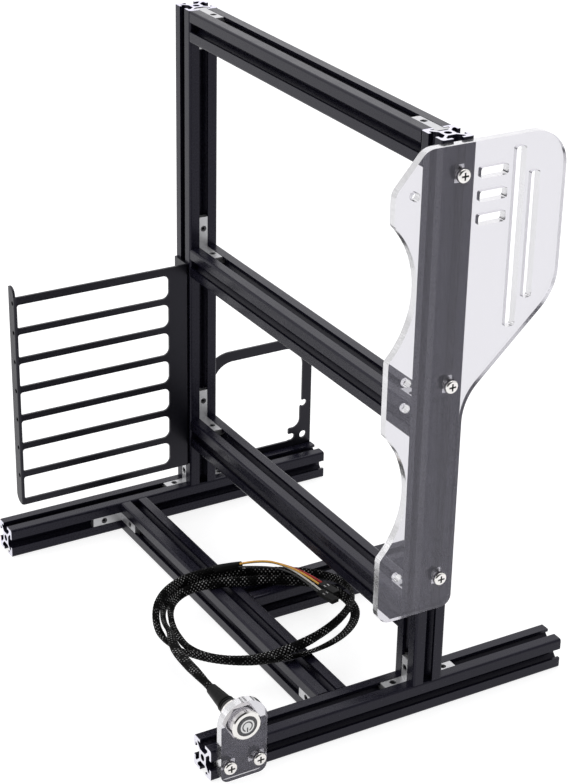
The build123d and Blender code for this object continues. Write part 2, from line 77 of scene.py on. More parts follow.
studio = {
    "floorSize": 8.0,
    "floorColor": (0.45, 0.45, 0.455, 1.0),
    "floorRoughness": 0.9,
    "floorSpecular": 0.1,
    "floorLift": 0.78,                         # glow for the camera, in gloss and through clear plates
    "worldLight": 0.5,
    "darkSide": (0.62, -0.36, 0.70),           # the way to the dark part of the room, met only in gloss
    "darkReach": (0.45, 0.80),                 # cosines off that way between which it grows dark
    "darkLevel": 0.06,
    "lamps": [
        # name, place, aim, size, watts, colour
        ("overhead", (-0.4, 0.2, 2.6), (0.0, 0.0, 0.15), 2.6, 30.0, (1.0, 1.0, 1.0)),
        ("leftFront", (-1.1, -2.2, 1.5), (0.0, 0.0, 0.2), 1.8, 14.0, (1.0, 1.0, 1.0)),
        ("backLeft", (-1.7, 1.0, 1.15), (0.0, 0.0, 0.2), 2.0, 3.5, (0.97, 0.95, 1.0)),
    ],
}


def makeLamps():
    for name, place, aim, size, watts, color in studio["lamps"]:
        data = bpy.data.lights.new(name, "AREA")
        data.size = size
        data.energy = watts
        data.color = color
        lamp = bpy.data.objects.new(name, data)
        toward = Vector(aim) - Vector(place)
        turn = toward.to_track_quat("-Z", "Y").to_matrix().to_4x4()
        lamp.matrix_world = Matrix.Translation(place) @ turn
        scene.collection.objects.link(lamp)


# Small helpers for node trees and meshes

def newMaterial(name):
    material = bpy.data.materials.new(name)
    material.use_nodes = True
    return material, material.node_tree, material.node_tree.nodes["Principled BSDF"]


def feed(tree, node, values):
    # Each value is a number or a colour to set, or a socket to link from
    for key, value in values.items():
        if isinstance(value, bpy.types.NodeSocket):
            tree.links.new(value, node.inputs[key])
        else:
            node.inputs[key].default_value = value


def addNode(tree, kind, inputs=None, **settings):
    node = tree.nodes.new(kind)
    for key, value in settings.items():
        setattr(node, key, value)
    feed(tree, node, inputs or {})
    return node


def compute(tree, operation, first, second=0.0):
    return addNode(tree, "ShaderNodeMath", {0: first, 1: second}, operation=operation).outputs[0]


def inRange(tree, value, low, high):
    # One where the value lies between the two limits
    above = compute(tree, "GREATER_THAN", value, low)
    return compute(tree, "MULTIPLY", above, compute(tree, "LESS_THAN", value, high))


def objectPlace(tree, scale=(1.0, 1.0, 1.0)):
    place = addNode(tree, "ShaderNodeTexCoord").outputs["Object"]
    return addNode(tree, "ShaderNodeMapping", {"Vector": place, "Scale": scale}).outputs[0]


def noise(tree, place, scale, detail=3.0, roughness=0.55):
    # The scale counts the patches in a metre
    inputs = {"Vector": place, "Scale": scale, "Detail": detail, "Roughness": roughness}
    return addNode(tree, "ShaderNodeTexNoise", inputs).outputs["Fac"]


def between(tree, value, low, high, fromLow=0.3, fromHigh=0.7):
    inputs = {"Value": value, "From Min": fromLow, "From Max": fromHigh, "To Min": low, "To Max": high}
    return addNode(tree, "ShaderNodeMapRange", inputs).outputs["Result"]


def mixColor(tree, factor, first, second):
    node = addNode(tree, "ShaderNodeMix", data_type="RGBA")
    colors = [index for index, socket in enumerate(node.inputs) if socket.type == "RGBA"]
    feed(tree, node, {0: factor, colors[0]: first, colors[1]: second})
    return [socket for socket in node.outputs if socket.type == "RGBA"][0]


def addBump(tree, shader, height, strength, distance):
    bump = addNode(tree, "ShaderNodeBump", {"Height": height, "Strength": strength, "Distance": distance})
    tree.links.new(bump.outputs["Normal"], shader.inputs["Normal"])


def seenRays(tree):
    # One for rays from the camera, from gloss and through clear plates
    rays = addNode(tree, "ShaderNodeLightPath")
    seen = compute(tree, "MAXIMUM", rays.outputs["Is Camera Ray"], rays.outputs["Is Transmission Ray"])
    return compute(tree, "MAXIMUM", seen, rays.outputs["Is Glossy Ray"])


def gray(level, tint=0.0):
    return (level, level, level * (1.0 + tint), 1.0)


def shaded(color, share):
    # The colour at a share of its brightness
    return tuple(share * channel for channel in color[:3]) + (1.0,)


def gridMesh(name, points, uv=None, closedAround=False, caps=False):
    # points is an array of rows x columns x 3: neighbours in the grid make the faces
    rows, columns = points.shape[:2]
    index = np.arange(rows * columns).reshape(rows, columns)
    if closedAround:
        index = np.concatenate([index, index[:, :1]], axis=1)
    corners = [index[:-1, :-1], index[:-1, 1:], index[1:, 1:], index[1:, :-1]]
    quads = np.stack(corners, axis=-1).reshape(-1, 4)
    faces = quads.tolist()
    if caps:
        faces += [index[0, :columns][::-1].tolist(), index[-1, :columns].tolist()]
    mesh = bpy.data.meshes.new(name)
    mesh.from_pydata(points.reshape(-1, 3).tolist(), [], faces)
    mesh.polygons.foreach_set("use_smooth", np.ones(len(faces), dtype=bool))
    if uv is not None:
        layer = mesh.uv_layers.new(name="along")
        used = np.zeros(len(mesh.loops), dtype=np.int32)
        mesh.loops.foreach_get("vertex_index", used)
        cornerUv = uv.reshape(-1, 2)[used]
        # The last face of each ring ends at one whole turn, not back at nought
        wrap = np.zeros(len(mesh.loops), dtype=bool)
        column = np.arange(len(quads)) % (columns if closedAround else columns - 1)
        wrap[: 4 * len(quads)] = np.repeat(column == columns - 1, 4)
        cornerUv[wrap & (cornerUv[:, 0] == 0.0), 0] = 1.0
        layer.data.foreach_set("uv", cornerUv.ravel())
    return mesh


def addPiece(name, mesh, material):
    piece = bpy.data.objects.new(name, mesh)
    scene.collection.objects.link(piece)
    piece.data.materials.append(material)
    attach(piece, "bench")
    return piece


# Harness: a braided sleeve in a loose coil, and four leads to the connectors

sleeve = {
    "diameter": 6.2,                           # its width: the braid lies a little flat
    "boot": (113.85, -101.8, 36.0),
    "route": [(99.85, -101.8, 36.0), (83.6, -99.8, 32.8), (64.0, -97.4, 29.9), (49.2, -93.4, 28.0)],
    "center": (38.5, -30.5),
    "halfX": 47.0,
    "halfY": 58.5,
    "startAngle": -80.0,
    "turns": (0.03, 2.32),
    "pointsPerTurn": 28,
    # turn, and how far the sleeve stands off the middle ellipse there, mm
    "spread": [
        (0.03, 0.0), (0.09, 0.0), (0.13, 2.9), (0.16, 4.7), (0.19, 5.5), (0.213, 5.6), (0.236, 5.2),
        (0.26, 4.6), (0.293, 2.6), (0.34, 0.9), (0.4, 1.2), (0.445, 4.6), (0.48, 6.0), (0.52, 6.2),
        (0.566, 5.0), (0.607, 2.2), (0.64, -0.3), (0.67, -2.6), (0.71, -4.5), (0.76, -4.2), (0.8, -3.1),
        (0.856, -1.6), (0.9, -1.4), (0.945, -1.8), (0.982, -3.0), (1.031, -5.6), (1.088, -5.2), (1.13, -1.8),
        (1.157, 0.7), (1.178, 1.9), (1.206, 2.1), (1.234, 0.3), (1.274, -5.0), (1.326, -9.6), (1.397, -9.6),
        (1.453, -6.0), (1.497, -2.8), (1.535, 0.1), (1.574, 3.0), (1.607, 5.6), (1.653, 6.0), (1.741, 5.5),
        (1.8, 4.8), (1.86, 3.5), (1.94, 3.3), (1.98, 3.3), (2.03, 3.8), (2.06, 4.8), (2.1, 5.6),
        (2.13, 5.5), (2.153, 5.5), (2.183, 5.8), (2.214, 5.6), (2.243, 4.6), (2.275, 3.3), (2.303, 2.6),
        (2.32, 2.6),
    ],
    "restOn": 20.3,                            # a little above the tops of the bars, mm
    # turn, and how far the sleeve is lifted there, mm: it comes down from the boot and crosses itself
    "lift": [
        (0.03, 4.6), (0.06, 3.2), (0.1, 0.8), (0.14, 0.0), (0.46, 0.0), (0.53, 2.7),
        (0.57, 4.0), (0.62, 4.0), (0.67, 1.8), (0.72, 0.0), (2.03, 0.0), (2.07, 2.0),
        (2.1, 5.2), (2.12, 6.6), (2.16, 6.6), (2.24, 6.3), (2.28, 5.8), (2.32, 5.6),
    ],
    "length": 0.8575,                          # metres
    "leadReach": 68.0,                         # from the boot to where the turns start, mm
    # reach from the boot, and the half width and half thickness there, mm
    "section": [
        (0.0, 2.4, 2.4), (8.0, 2.4, 2.4), (14.0, 3.0, 2.3), (26.0, 3.8, 2.1), (45.0, 3.9, 1.9),
        (75.0, 3.5, 1.6), (115.0, 3.1, 1.4), (800.0, 3.1, 1.4), (832.0, 2.4, 2.4), (860.0, 2.4, 2.4),
    ],
    # reach from the boot, mm, and how far the width leans up there, degrees
    "lean": [
        (0.0, 0.0), (55.0, -8.0), (72.0, -40.0), (92.0, -60.0), (127.0, -76.0), (145.0, -72.0),
        (161.0, -58.0), (196.0, -55.0), (230.0, -85.0), (265.0, -105.0), (318.0, -105.0), (350.0, -170.0),
        (403.0, -190.0), (437.0, -235.0), (472.0, -250.0), (506.0, -250.0), (541.0, -240.0), (575.0, -215.0),
        (610.0, -190.0), (640.0, -200.0), (690.0, -262.0), (730.0, -245.0), (757.0, -205.0), (775.0, -234.0),
        (799.0, -250.0), (820.0, -255.0), (840.0, -245.0), (860.0, -235.0),
    ],
    "sides": 32,
    "step": 0.5,                               # from ring to ring, mm
    "strands": 6,
    "girth": 0.0157,                           # metres round the braid
    "relief": 0.05,                            # depth of the weave, as a share of the section
    "cuffHalf": 2.85,
    "cuffLength": 20.0,
    "cuffTaper": 0.5,
}


def tableAt(rows, place, column=1):
    # Straight lines from row to row: the first column holds the places, the others the values there
    table = np.array(rows)
    return np.interp(place, table[:, 0], table[:, column])


def routeCurve(name, points):
    # One open smooth curve with the route's points as its control points
    data = bpy.data.curves.new(name, "CURVE")
    data.dimensions = "3D"
    data.resolution_u = 12
    spline = data.splines.new("NURBS")
    spline.points.add(len(points) - 1)
    rows = np.ones((len(points), 4))
    rows[:, :3] = np.array(points) * mm
    spline.points.foreach_set("co", rows.ravel())
    spline.order_u = 3
    spline.use_endpoint_u = True
    return data


def routePoints(name, points):
    # The points that Blender draws the smooth curve with
    helper = bpy.data.objects.new(name, routeCurve(name, points))
    scene.collection.objects.link(helper)
    mesh = bpy.data.meshes.new_from_object(helper)
    path = np.zeros(len(mesh.vertices) * 3)
    mesh.vertices.foreach_get("co", path)
    bpy.data.objects.remove(helper)
    bpy.data.meshes.remove(mesh)
    return path.reshape(-1, 3)


def arcLength(path):
    # Running sum of the distances from point to point
    steps = np.linalg.norm(np.diff(path, axis=0), axis=1)
    return np.concatenate([[0.0], np.cumsum(steps)])


def braidWeave(around, along):
    # Crests of two sets of strands that wind opposite ways, multiplied
    across = sleeve["strands"] * around
    onward = sleeve["strands"] * along / sleeve["girth"]
    return np.abs(np.sin(pi * (across + onward)) * np.sin(pi * (across - onward)))


def tubeGrid(path, halfWidth, halfThick, lean, sides, relief=0.0):
    # Ring at each path point: center + half width times cosine along the leaning side plus half
    # thickness times sine square to it, both square to the path, and swollen by the weave
    tangent = np.gradient(path, axis=0)
    tangent /= np.linalg.norm(tangent, axis=1, keepdims=True)
    level = np.cross(tangent, (0.0, 0.0, 1.0))
    level /= np.linalg.norm(level, axis=1, keepdims=True)
    upward = np.cross(level, tangent)
    angle = np.arange(sides) * 2 * pi / sides
    up, flat = np.sin(lean)[:, None], np.cos(lean)[:, None]
    wide = halfWidth[:, None] * (level * flat + upward * up)
    thin = halfThick[:, None] * (upward * flat - level * up)
    around = np.broadcast_to(np.arange(sides)[None, :] / sides, (len(path), sides))
    along = np.broadcast_to(arcLength(path)[:, None], around.shape)
    ring = np.cos(angle)[None, :, None] * wide[:, None, :] + np.sin(angle)[None, :, None] * thin[:, None, :]
    swell = 1.0 - relief + relief * braidWeave(around, along)
    points = path[:, None, :] + swell[..., None] * ring
    return points, np.stack([around, along], axis=-1)


def coilPoints():
    # Turns round an ellipse whose half axes swell and shrink by the spread at each turn, at half
    # the height that the leaning section takes up above the bars, plus the lift
    first, last = sleeve["turns"]
    turn = np.linspace(first, last, int((last - first) * sleeve["pointsPerTurn"]) + 1)
    angle = np.radians(sleeve["startAngle"]) - 2 * pi * turn
    swell = tableAt(sleeve["spread"], turn)
    x = sleeve["center"][0] + (sleeve["halfX"] + swell) * np.cos(angle)
    y = sleeve["center"][1] + (sleeve["halfY"] + swell) * np.sin(angle)
    reach = np.linspace(sleeve["leadReach"], sleeve["length"] / mm, len(turn))
    lean = np.radians(tableAt(sleeve["lean"], reach))
    wide = tableAt(sleeve["section"], reach, 1) * np.sin(lean)
    thin = tableAt(sleeve["section"], reach, 2) * np.cos(lean)
    z = sleeve["restOn"] + np.hypot(wide, thin) + tableAt(sleeve["lift"], turn)
    return np.stack([x, y, z], axis=1).tolist()


braidFinish = {
    "black": gray(0.003),
    # the lighter grey is a painted glint, not the braid's own black
    "paintedGlint": gray(0.5),
    "shineFrom": (0.66, 0.96),                 # heights of the weave where the painted glint starts and is full
    "patches": 140.0,
    "patchFrom": (0.44, 0.62),
    "patchShine": (0.02, 1.0),
    "roughness": (0.55, 0.25),                 # of the dull weave and where the glint is painted
    "bump": (0.6, 0.0004),                     # strength, and depth in metres
    "ior": 1.1,
}


def braidMaterial():
    # Two sets of strands wind opposite ways; where both crests meet, a glint is painted into the colour as a
    # lighter grey, in patches, with lower roughness
    material, tree, shader = newMaterial("braidedSleeve")
    place = addNode(tree, "ShaderNodeUVMap", uv_map="along")
    split = addNode(tree, "ShaderNodeSeparateXYZ", {0: place.outputs[0]})
    around = compute(tree, "MULTIPLY", split.outputs[0], float(sleeve["strands"]))
    along = compute(tree, "MULTIPLY", split.outputs[1], sleeve["strands"] / sleeve["girth"])
    crests = []
    for operation in ("ADD", "SUBTRACT"):
        phase = compute(tree, operation, around, along)
        wave = compute(tree, "SINE", compute(tree, "MULTIPLY", phase, pi))
        crests.append(compute(tree, "ABSOLUTE", wave))
    weave = compute(tree, "MULTIPLY", *crests)
    shine = between(tree, weave, 0.0, 1.0, *braidFinish["shineFrom"])
    patches = noise(tree, objectPlace(tree), braidFinish["patches"])
    lit = between(tree, patches, *braidFinish["patchShine"], *braidFinish["patchFrom"])
    shine = compute(tree, "MULTIPLY", shine, lit)
    # the crests get the painted glint: lighter grey in the colour, and lower roughness
    feed(tree, shader, {
        "Base Color": mixColor(tree, shine, braidFinish["black"], braidFinish["paintedGlint"]),
        "Roughness": between(tree, shine, *braidFinish["roughness"], 0.0, 1.0),
        "IOR": braidFinish["ior"],
    })
    addBump(tree, shader, weave, *braidFinish["bump"])
    return material


def plainMaterial(name, finish, shades=None):
    # One noise gives a plain skin its two shades, its uneven gloss and its relief
    material, tree, shader = newMaterial(name)
    grain = noise(tree, objectPlace(tree), *finish["grain"])
    feed(tree, shader, {
        "Base Color": mixColor(tree, grain, *(shades or finish["shades"])),
        "Roughness": between(tree, grain, *finish["roughness"]),
        "IOR": finish["ior"],
    })
    addBump(tree, shader, grain, *finish["bump"])
    return material


shrinkTube = {                                 # heat-shrink tube: smooth, with faint wrinkles
    "shades": (gray(0.0035), gray(0.0065)),
    "roughness": (0.34, 0.50),
    "grain": (420.0, 4.0),                     # patches in a metre, and detail
    "bump": (0.25, 0.0004),
    "ior": 1.2,
}


def makeHarness():
    path = routePoints("sleeveRoute", [sleeve["boot"]] + sleeve["route"] + coilPoints())
    along = arcLength(path)
    print("sleeve length", round(along[-1], 4))
    even = np.linspace(0.0, along[-1], int(along[-1] / mm / sleeve["step"]))
    fine = np.stack([np.interp(even, along, path[:, axis]) for axis in range(3)], axis=1)
    halfWidth = tableAt(sleeve["section"], even / mm, 1) * mm
    halfThick = tableAt(sleeve["section"], even / mm, 2) * mm
    lean = np.radians(tableAt(sleeve["lean"], even / mm))
    points, uv = tubeGrid(fine, halfWidth, halfThick, lean, sleeve["sides"], sleeve["relief"])
    mesh = gridMesh("braided_sleeve", points, uv, closedAround=True, caps=True)
    piece = addPiece("braided_sleeve", mesh, braidMaterial())
    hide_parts("harness_lead", "harness_coil")

    # The cuff is round, and falls away with the cube of its length
    cuffPath = path[along > along[-1] - sleeve["cuffLength"] * mm]
    fall = np.linspace(0.0, 1.0, len(cuffPath))
    cuffRadius = (sleeve["cuffHalf"] - sleeve["cuffTaper"] * fall**3) * mm
    cuffPoints, cuffUv = tubeGrid(cuffPath, cuffRadius, cuffRadius, np.zeros_like(fall), sleeve["sides"])
    cuffMesh = gridMesh("sleeve_cuff", cuffPoints, cuffUv, closedAround=True, caps=True)
    cuff = addPiece("sleeve_cuff", cuffMesh, plainMaterial("cuffShrink", shrinkTube))


wires = {
    "diameter": 1.3,
    "leads": [
        # name, plug, colour, length in metres, then start, bends and end in mm
        ("amber", "connector_switch", (0.93, 0.48, 0.07), 0.0592, (-8.2, -16.4, 30.2),
         [(0.4, -5.6, 34.8), (15.0, 3.2, 36.0), (30.0, 9.8, 34.8)], (40.72, 13.25, 32.4)),
        ("red", "connector_switch", (0.55, 0.012, 0.01), 0.061, (-10.3, -15.1, 28.8),
         [(-1.8, -4.3, 33.2), (12.8, 4.6, 34.4), (28.4, 12.4, 34.0)], (40.28, 15.75, 32.4)),
        ("white", "connector_lamp", (0.72, 0.70, 0.66), 0.0658, (-9.3, -15.8, 29.4),
         [(-0.6, -5.2, 33.6), (13.9, 3.8, 35.1), (30.8, 8.8, 33.2)], (47.78, 10.45, 32.4)),
        ("black", "connector_lamp", (0.008, 0.008, 0.009), 0.0639, (-7.4, -17.4, 28.6),
         [(1.8, -7.6, 31.2), (14.6, 2.6, 33.0), (33.2, 6.8, 33.4)], (48.22, 7.95, 32.4)),
    ],
    "shade": 0.82,                             # of the darker patches
    "finish": {"roughness": (0.3, 0.45), "grain": (700.0, 3.0), "bump": (0.15, 0.0002), "ior": 1.5},
}


def makeWires():
    for name, plug, color, length, start, bends, end in wires["leads"]:
        data = routeCurve("wire_" + name + "_lead", [start] + bends + [end])
        data.bevel_depth = wires["diameter"] / 2 * mm
        data.bevel_resolution = 4
        data.use_fill_caps = True
        piece = bpy.data.objects.new("wire_" + name + "_lead", data)
        scene.collection.objects.link(piece)
        shades = (shaded(color, wires["shade"]), shaded(color, 1.0))
        data.materials.append(plainMaterial("wire" + name.capitalize(), wires["finish"], shades))
        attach(piece, "bench")
        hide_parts("wire_" + name)


# Finishes of the rigid pieces

barFinish = {
    "axes": {"base_rail": "Y", "base_strut": "Y", "post": "Z", "beam": "X", "base_cross": "X"},
    "black": (0.0045, 0.0042, 0.009, 1.0),
    "blackLight": (0.010, 0.0093, 0.019, 1.0),
    "bare": (gray(0.66, 0.02), gray(0.90, 0.02)),
    "streaks": (1600.0, 2.0),                  # patches in a metre, and detail
    "streakDraw": 0.012,                       # share of that count along the bar
    "grain": (650.0, 2.0),
    "clouds": 60.0,
    "noiseShare": 0.3333,                      # of each of the three noises in the tone
    "sawMarks": (2400.0, 2.0),
    "sawDraw": 0.08,
    "endFacing": 0.9,                          # a face that looks along the bar more than this is an end
    "roughness": (0.22, 0.34),
    "roughnessFrom": (0.4, 0.6),
    "bump": (0.08, 0.0002),
    "specularTint": (0.87, 0.845, 1.0, 1.0),
    "ior": 1.325,
}


def barMaterial(axis):
    # Black anodised bar: fine draw lines run along it, and its sawn ends are bare metal
    material, tree, shader = newMaterial("barAlong" + axis)
    lane = "XYZ".index(axis)
    lines = [1.0, 1.0, 1.0]
    lines[lane] = barFinish["streakDraw"]
    streaks = noise(tree, objectPlace(tree, tuple(lines)), *barFinish["streaks"])
    grain = noise(tree, objectPlace(tree), *barFinish["grain"])
    clouds = noise(tree, objectPlace(tree), barFinish["clouds"])
    relief = compute(tree, "ADD", streaks, grain)
    tone = compute(tree, "MULTIPLY", compute(tree, "ADD", relief, clouds), barFinish["noiseShare"])
    black = mixColor(tree, tone, barFinish["black"], barFinish["blackLight"])
    saw = [1.0, 1.0, 1.0]
    saw[0 if axis != "X" else 1] = barFinish["sawDraw"]
    marks = noise(tree, objectPlace(tree, tuple(saw)), *barFinish["sawMarks"])
    bare = mixColor(tree, marks, *barFinish["bare"])
    coordinates = addNode(tree, "ShaderNodeTexCoord")
    normal = addNode(tree, "ShaderNodeSeparateXYZ", {0: coordinates.outputs["Normal"]}).outputs[lane]
    endMask = compute(tree, "GREATER_THAN", compute(tree, "ABSOLUTE", normal), barFinish["endFacing"])
    feed(tree, shader, {
        "Base Color": mixColor(tree, endMask, black, bare),
        "Metallic": endMask,
        "Roughness": between(tree, tone, *barFinish["roughness"], *barFinish["roughnessFrom"]),
        "Specular Tint": barFinish["specularTint"],
        "IOR": barFinish["ior"],
    })
    addBump(tree, shader, relief, *barFinish["bump"])
    return material


metals = {
    # name: colour, roughness, grain in patches a metre, strength of its bump and share of metal
    "nickel": ((0.90, 0.88, 0.855), 0.11, 700.0, 0.05, 1.0),
    "castBracket": ((0.66, 0.66, 0.675), 0.40, 700.0, 0.3, 0.75),
    "blackScrew": ((0.09, 0.09, 0.095), 0.35, 1500.0, 0.1, 1.0),
    "zincNut": ((0.97, 0.97, 0.97), 0.22, 900.0, 0.1, 1.0),
    "springSteel": ((0.6, 0.6, 0.6), 0.3, 1500.0, 0.05, 1.0),
    # dark metal for the screws' cross recesses: painted shade
    "recessPaintedShade": ((0.10, 0.095, 0.09), 0.45, 900.0, 0.1, 1.0),
}
metalGrain = {
    "detail": 4.0,
    "stainSize": 12,                           # times the grain's
    "shade": 0.72,                             # of the stains
    "roughness": (0.8, 1.25),                  # times the metal's own
    "bumpDepth": 0.0002,
}


def metalMaterial(name):
    # Metal with a fine cast or tumbled grain and slow stains
    color, roughness, grain, bump, metallic = metals[name]
    material, tree, shader = newMaterial(name)
    fine = noise(tree, objectPlace(tree), grain, metalGrain["detail"])
    slow = noise(tree, objectPlace(tree), grain / metalGrain["stainSize"])
    tone = compute(tree, "MULTIPLY", compute(tree, "ADD", fine, slow), 0.5)
    smooth, rough = (roughness * share for share in metalGrain["roughness"])
    feed(tree, shader, {
        "Base Color": mixColor(tree, tone, shaded(color, metalGrain["shade"]), shaded(color, 1.0)),
        "Roughness": between(tree, tone, smooth, rough),
        "Metallic": metallic,
    })
    addBump(tree, shader, fine, bump, metalGrain["bumpDepth"])
    return material


powderCoat = {
    "shades": (gray(0.003, 0.6), gray(0.006, 0.6)),
    "pebbles": (1500.0, 2.0),
    "clouds": 45.0,
    "roughness": (0.28, 0.42),
    "bump": (0.12, 0.0002),
    "ior": 1.37,
}


def coatMaterial():
    # Black powder coat: a fine pebbled skin
    material, tree, shader = newMaterial("powderCoat")
    pebbles = noise(tree, objectPlace(tree), *powderCoat["pebbles"])
    clouds = noise(tree, objectPlace(tree), powderCoat["clouds"])
    feed(tree, shader, {
        "Base Color": mixColor(tree, clouds, *powderCoat["shades"]),
        "Roughness": between(tree, pebbles, *powderCoat["roughness"]),
        "Specular Tint": barFinish["specularTint"],
        "IOR": powderCoat["ior"],
    })
    addBump(tree, shader, pebbles, *powderCoat["bump"])
    return material


clearPlate = {
    "nodes": ["side_plate", "switch_plate"],
    "hair": 0.05,                              # air between a plate and its bar, mm
    "cutFacing": 0.5,                          # a face that looks along X less than this is a cut edge
    "tint": (0.665, 0.657, 0.69, 1.0),
    "specularTint": (0.88, 0.86, 1.0, 1.0),
    "lampTint": (0.82, 0.81, 0.84, 1.0),
    "ior": 1.55,
    "waves": (25.0, 2.0),
    "waveRoughness": (0.0, 0.012),
    "waveBump": (0.02, 0.001),
    "edge": (0.88, 0.875, 0.895, 1.0),
    "edgeShade": 0.80,
    "edgeClear": 0.7,
    "edgeMirror": 0.75,                        # share of light thrown back inside the cut edge
    "marks": (900.0, 2.0),
    "markDraw": (0.2, 1.0, 1.0),
    "markRoughness": (0.10, 0.20),
    "markBump": (0.02, 0.0002),
}


def passLamps(tree, shader):
    # Light from the lamps goes straight through, so that what lies behind is lit
    rays = addNode(tree, "ShaderNodeLightPath")
    through = addNode(tree, "ShaderNodeBsdfTransparent", {"Color": clearPlate["lampTint"]})
    parts = {0: rays.outputs["Is Shadow Ray"], 1: shader.outputs[0], 2: through.outputs[0]}
    mix = addNode(tree, "ShaderNodeMixShader", parts)
    tree.links.new(mix.outputs[0], tree.nodes["Material Output"].inputs["Surface"])


def clearMaterial():
    # Clear acrylic with a faint waviness in its polish
    material, tree, shader = newMaterial("clearAcrylic")
    waves = noise(tree, objectPlace(tree), *clearPlate["waves"])
    feed(tree, shader, {
        "Base Color": clearPlate["tint"],
        "Specular Tint": clearPlate["specularTint"],
        "Transmission Weight": 1.0,
        "IOR": clearPlate["ior"],
        "Roughness": between(tree, waves, *clearPlate["waveRoughness"]),
    })
    addBump(tree, shader, waves, *clearPlate["waveBump"])
    passLamps(tree, shader)
    return material


def edgeMaterial():
    # Cut edge of the acrylic: fine marks across it, a large share of mirror, and the rest mostly clear
    material, tree, shader = newMaterial("acrylicEdge")
    marks = noise(tree, objectPlace(tree, clearPlate["markDraw"]), *clearPlate["marks"])
    dark = shaded(clearPlate["edge"], clearPlate["edgeShade"])
    feed(tree, shader, {
        "Base Color": mixColor(tree, marks, dark, clearPlate["edge"]),
        "Roughness": between(tree, marks, *clearPlate["markRoughness"]),
        "Transmission Weight": clearPlate["edgeClear"],
        "Metallic": clearPlate["edgeMirror"],
        "IOR": clearPlate["ior"],
    })
    addBump(tree, shader, marks, *clearPlate["markBump"])
    passLamps(tree, shader)
    return material


def makePlates():
    # Each plate with its back a hair off the bar: faces square to X are the polished sheet,
    # and all the others are its cut edges
    sheet, edge = clearMaterial(), edgeMaterial()
    for name in clearPlate["nodes"]:
        mesh = nodes[name].data.copy()
        mesh.name = "clear_" + name
        points = np.zeros(len(mesh.vertices) * 3)
        mesh.vertices.foreach_get("co", points)
        points[0::3] = np.maximum(points[0::3], points[0::3].min() + clearPlate["hair"] * mm)
        mesh.vertices.foreach_set("co", points)
        normals = np.zeros(len(mesh.polygons) * 3)
        mesh.polygons.foreach_get("normal", normals)
        cut = np.abs(normals[0::3]) < clearPlate["cutFacing"]
        mesh.materials.clear()
        piece = addPiece("clear_" + name, mesh, sheet)
        mesh.materials.append(edge)
        mesh.polygons.foreach_set("material_index", cut.astype(np.int32))
        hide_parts(name)


screwRecess = {
    "depth": 1.4,
    "slack": 0.02,
    "square": 0.001,                           # how far a wall's or a floor's facing may be off
    # node, lane of the screws' axis and the way their heads face
    "rows": [("side_plate_screws", 0, 1), ("switch_plate_screws", 0, 1), ("card_bracket_screws", 1, -1),
             ("supply_bracket_screws", 0, -1)],
}


def dressRecesses(dark):
    # The walls and floor of each cross recess, square to the head's top or at the recess's depth, get the
    # dark metal: painted shade
    for name, lane, way in screwRecess["rows"]:
        mesh = nodes[name].data
        centers, normals = np.zeros(len(mesh.polygons) * 3), np.zeros(len(mesh.polygons) * 3)
        mesh.polygons.foreach_get("center", centers)
        mesh.polygons.foreach_get("normal", normals)
        height, facing = way * centers[lane::3] / mm, way * normals[lane::3]
        floor = height.max() - screwRecess["depth"]
        walls = (np.abs(facing) < screwRecess["square"]) & (height > floor)
        bottoms = (facing > 1.0 - screwRecess["square"]) & (np.abs(height - floor) < screwRecess["slack"])
        mesh.materials.append(dark)
        mesh.polygons.foreach_set("material_index", (walls | bottoms).astype(np.int32))
        print(name, "recess faces", int((walls | bottoms).sum()))


connector = {
    "rears": {"connector_switch": (40.5, 14.5, 32.4), "connector_lamp": (48.0, 9.2, 32.4)},
    "turn": 10.0,
    "pitch": 2.54,
    "window": (3.6, 5.6),                      # from the rear, mm
    "windowHalf": 0.4,
    "topFrom": 1.0,                            # only faces this far above the middle have windows, mm
    "shades": (gray(0.003), gray(0.006)),
    "contact": gray(0.75),
    "roughness": (0.34, 0.46),
    "grain": (900.0, 4.0),
    "bump": (0.12, 0.0002),
    "ior": 1.3,
}


def connectorMaterial(name):
    # Moulded housing with two windows in its top that show the bright contacts
    material, tree, shader = newMaterial(name + "_plastic")
    settings = {
        "Vector": addNode(tree, "ShaderNodeTexCoord").outputs["Object"],
        "Location": tuple(mm * value for value in connector["rears"][name]),
        "Rotation": (0.0, 0.0, radians(connector["turn"])),
    }
    local = addNode(tree, "ShaderNodeMapping", settings, vector_type="TEXTURE").outputs[0]
    split = addNode(tree, "ShaderNodeSeparateXYZ", {0: local})
    low, high = connector["window"]
    inside = inRange(tree, split.outputs[0], low * mm, high * mm)
    side = compute(tree, "ABSOLUTE", split.outputs[1])
    lane = compute(tree, "ABSOLUTE", compute(tree, "SUBTRACT", side, connector["pitch"] / 2 * mm))
    narrow = compute(tree, "LESS_THAN", lane, connector["windowHalf"] * mm)
    top = compute(tree, "GREATER_THAN", split.outputs[2], connector["topFrom"] * mm)
    inside = compute(tree, "MULTIPLY", compute(tree, "MULTIPLY", inside, narrow), top)
    specks = noise(tree, objectPlace(tree), *connector["grain"])
    plastic = mixColor(tree, specks, *connector["shades"])
    feed(tree, shader, {
        "Base Color": mixColor(tree, inside, plastic, connector["contact"]),
        "Metallic": inside,
        "Roughness": between(tree, specks, *connector["roughness"]),
        "IOR": connector["ior"],
    })
    addBump(tree, shader, specks, *connector["bump"])
    return material


buttonCap = {
    "axis": (-0.1018, 0.036),                  # Y and Z of the button's axis, metres
    "ringRadius": 0.0029,
    "line": 0.0004,                            # half the width of the sign's lines
    "gap": 0.0012,                             # half the width of the ring's opening
    "tick": (0.0006, 0.0036),                  # below the axis
    "shades": (gray(0.62), gray(0.76)),
    "sign": gray(0.07, 0.1),
    "metallic": (0.85, 0.2),                   # of the cap and of the sign
    "roughness": (0.3, 0.42),
    "grain": (2500.0, 2.0),
    "bump": (0.05, 0.0001),
}


